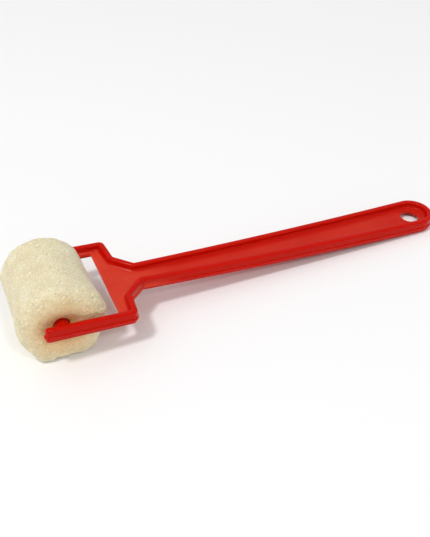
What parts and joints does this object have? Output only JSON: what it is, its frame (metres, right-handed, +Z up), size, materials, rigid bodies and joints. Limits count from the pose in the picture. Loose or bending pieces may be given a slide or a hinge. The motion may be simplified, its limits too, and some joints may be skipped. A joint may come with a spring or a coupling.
{
  "type": "mini foam paint roller",
  "caption": "Small hand-held paint roller: a round-ended foam sleeve spins on a core tube between the two arms of a moulded, H-section yoke and handle with a hanging hole.",
  "frame": {"origin": "on the table plane, at the middle of the bounding box's length and width", "axes": "+X runs along the tool from the foam to the handle's end, +Y along the axle towards the far arm, +Z up from the table that the foam and the handle's end rest on"},
  "size_m": [0.2534, 0.063, 0.044],
  "materials": {
    "red_plastic": "satin",
    "core_plastic": "satin",
    "cream_foam": "matte"
  },
  "bodies": {
    "frame": {"handle_frame": "red_plastic"},
    "roller": {"roller_core": "core_plastic", "foam_sleeve": "cream_foam"}
  },
  "joints": [
    {"name": "roller_spin", "type": "hinge", "parent": "frame", "child": "roller", "pos_m": [-0.10469, 0, 0.022], "axis": [0, 1, 0], "continuous": true}
  ]
}
